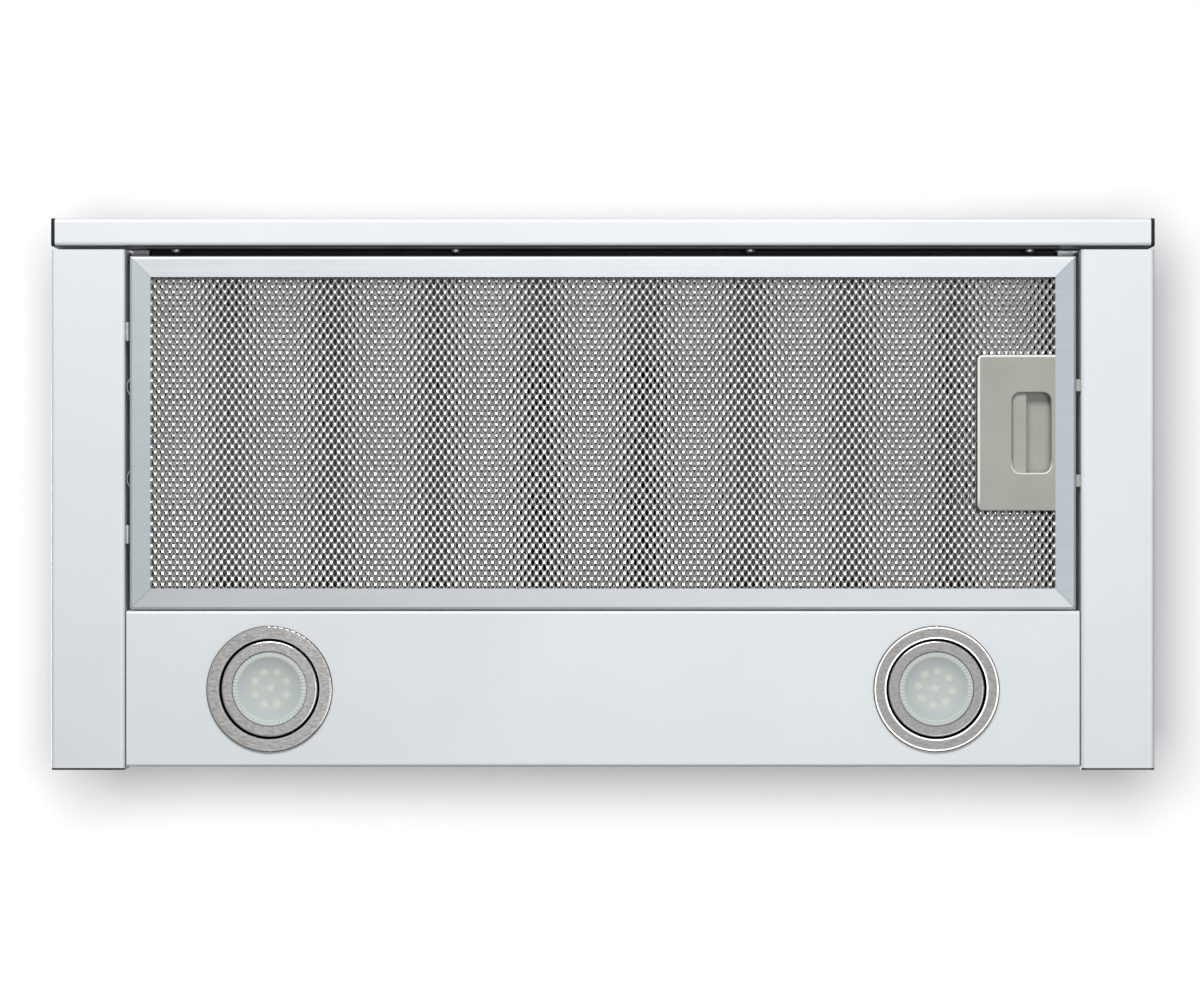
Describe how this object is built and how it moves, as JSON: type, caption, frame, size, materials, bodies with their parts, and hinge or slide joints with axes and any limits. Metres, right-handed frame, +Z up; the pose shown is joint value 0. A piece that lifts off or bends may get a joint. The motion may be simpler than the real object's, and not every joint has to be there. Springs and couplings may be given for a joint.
{
  "type": "under cabinet range hood",
  "caption": "Slim under cabinet cooker hood with a slide-out front panel, latched mesh grease filter, round lamps, blower box and round duct collar.",
  "frame": {"origin": "centre of the four cabinet screws, on the deck plate's top face, which bears on the cabinet", "axes": "+Z up towards the duct, -Y towards the cook (the slide-out front), +X to the right seen from the front"},
  "size_m": [0.6, 0.3, 0.2046],
  "materials": {
    "white_enamel": "smooth white baked enamel, semi-gloss",
    "galvanised_sheet": "galvanised sheet, faint spangle, satin",
    "zinc_steel": "bright zinc plate",
    "motor_steel": "dull lacquered steel",
    "satin_aluminium": "satin anodised, fine lengthwise grain",
    "mesh_aluminium": "bright expanded metal",
    "brushed_ring": "brushed stainless",
    "black_metal": "matt black paint",
    "black_plastic": "fine grained",
    "flap_plastic": "smooth",
    "impeller_plastic": "smooth moulded",
    "latch_plastic": "beige grey, fine grained",
    "grey_plastic": "fine grained",
    "white_plastic": "smooth",
    "frosted_glass": "frosted, fluted rim",
    "lamp_board": "lamp board with pale yellow emitters"
  },
  "bodies": {
    "hood": {"deck_plate": "galvanised_sheet", "side_rail_left": "white_enamel", "side_rail_right": "white_enamel", "light_panel": "white_enamel", "rivets": "zinc_steel", "box_front": "galvanised_sheet", "box_rear": "galvanised_sheet", "box_top": "galvanised_sheet", "box_sides": "galvanised_sheet", "outlet_collar": "black_plastic", "flap_pin": "zinc_steel", "collar_screws": "zinc_steel", "scroll_left": "black_plastic", "scroll_right": "black_plastic", "motor_case": "motor_steel", "motor_bracket": "galvanised_sheet", "motor_bearings": "zinc_steel", "motor_stator": "motor_steel", "slide_channels": "galvanised_sheet", "door_switch": "black_plastic", "lamp_bezels": "brushed_ring", "lamp_cans": "black_metal", "led_driver": "white_plastic", "terminal_box": "grey_plastic", "cable_gland": "black_plastic", "capacitor": "grey_plastic"},
    "slide_out": {"fascia": "white_enamel", "fascia_end_caps": "black_plastic", "fascia_screws": "zinc_steel", "slide_tray": "white_enamel", "slide_runners": "zinc_steel", "glide_pads": "white_plastic", "slide_filter_frame": "satin_aluminium", "slide_filter_mesh": "mesh_aluminium", "switch_block": "black_plastic"},
    "filter": {"filter_bar_front": "satin_aluminium", "filter_bar_rear": "satin_aluminium", "filter_bar_left": "satin_aluminium", "filter_bar_right": "satin_aluminium", "filter_mesh": "mesh_aluminium", "filter_edge_clips": "zinc_steel", "latch_plate": "latch_plastic", "latch_springs": "zinc_steel"},
    "latch": {"latch_slider": "latch_plastic"},
    "fan": {"motor_rotor": "motor_steel", "impeller": "impeller_plastic"},
    "front_flap": {"flap_front": "flap_plastic"},
    "rear_flap": {"flap_rear": "flap_plastic"},
    "left_lamp": {"lamp_ring_left": "brushed_ring", "lamp_lens_left": "frosted_glass", "lamp_module_left": "lamp_board"},
    "right_lamp": {"lamp_ring_right": "brushed_ring", "lamp_lens_right": "frosted_glass", "lamp_module_right": "lamp_board"},
    "switch_plunger": {"door_switch_plunger": "white_plastic"},
    "off_button": {"button_off": "grey_plastic"},
    "low_button": {"button_low": "grey_plastic"},
    "medium_button": {"button_medium": "grey_plastic"},
    "high_button": {"button_high": "grey_plastic"},
    "light_button": {"button_light": "grey_plastic"}
  },
  "joints": [
    {"name": "slide_out_travel", "type": "slide", "parent": "hood", "child": "slide_out", "axis": [0, -1, 0], "range_m": [0, 0.155]},
    {"name": "filter_swing", "type": "hinge", "parent": "hood", "child": "filter", "pos_m": [-0.2605, -0.03325, -0.041], "axis": [0, 1, 0], "range_deg": [0, 60]},
    {"name": "latch_travel", "type": "slide", "parent": "filter", "child": "latch", "axis": [-1, 0, 0], "range_m": [0, 0.005], "stiffness_N_per_m": 600, "springref_m": -0.003, "deforming": ["latch_springs"]},
    {"name": "fan_spin", "type": "hinge", "parent": "hood", "child": "fan", "pos_m": [0, -0.014, 0.067], "axis": [1, 0, 0], "continuous": true},
    {"name": "front_flap_swing", "type": "hinge", "parent": "hood", "child": "front_flap", "pos_m": [0, 0.038, 0.14], "axis": [-1, 0, 0], "range_deg": [0, 80]},
    {"name": "rear_flap_swing", "type": "hinge", "parent": "hood", "child": "rear_flap", "pos_m": [0, 0.038, 0.14], "axis": [1, 0, 0], "range_deg": [0, 80]},
    {"name": "left_lamp_turn", "type": "hinge", "parent": "hood", "child": "left_lamp", "pos_m": [-0.1813, 0.106, -0.0422], "axis": [0, 0, 1], "range_deg": [0, 25]},
    {"name": "right_lamp_turn", "type": "hinge", "parent": "hood", "child": "right_lamp", "pos_m": [0.1813, 0.106, -0.0422], "axis": [0, 0, 1], "range_deg": [0, 25]},
    {"name": "switch_plunger_press", "type": "slide", "parent": "hood", "child": "switch_plunger", "axis": [0, 1, 0], "range_m": [0, 0.001], "stiffness_N_per_m": 500, "springref_m": -0.001},
    {"name": "off_button_press", "type": "slide", "parent": "slide_out", "child": "off_button", "axis": [0, 1, 0], "range_m": [0, 0.0022], "stiffness_N_per_m": 400, "springref_m": -0.002},
    {"name": "low_button_press", "type": "slide", "parent": "slide_out", "child": "low_button", "axis": [0, 1, 0], "range_m": [0, 0.0022], "stiffness_N_per_m": 400, "springref_m": -0.002},
    {"name": "medium_button_press", "type": "slide", "parent": "slide_out", "child": "medium_button", "axis": [0, 1, 0], "range_m": [0, 0.0022], "stiffness_N_per_m": 400, "springref_m": -0.002},
    {"name": "high_button_press", "type": "slide", "parent": "slide_out", "child": "high_button", "axis": [0, 1, 0], "range_m": [0, 0.0022], "stiffness_N_per_m": 400, "springref_m": -0.002},
    {"name": "light_button_press", "type": "slide", "parent": "slide_out", "child": "light_button", "axis": [0, 1, 0], "range_m": [0, 0.0022], "stiffness_N_per_m": 400, "springref_m": -0.002}
  ]
}
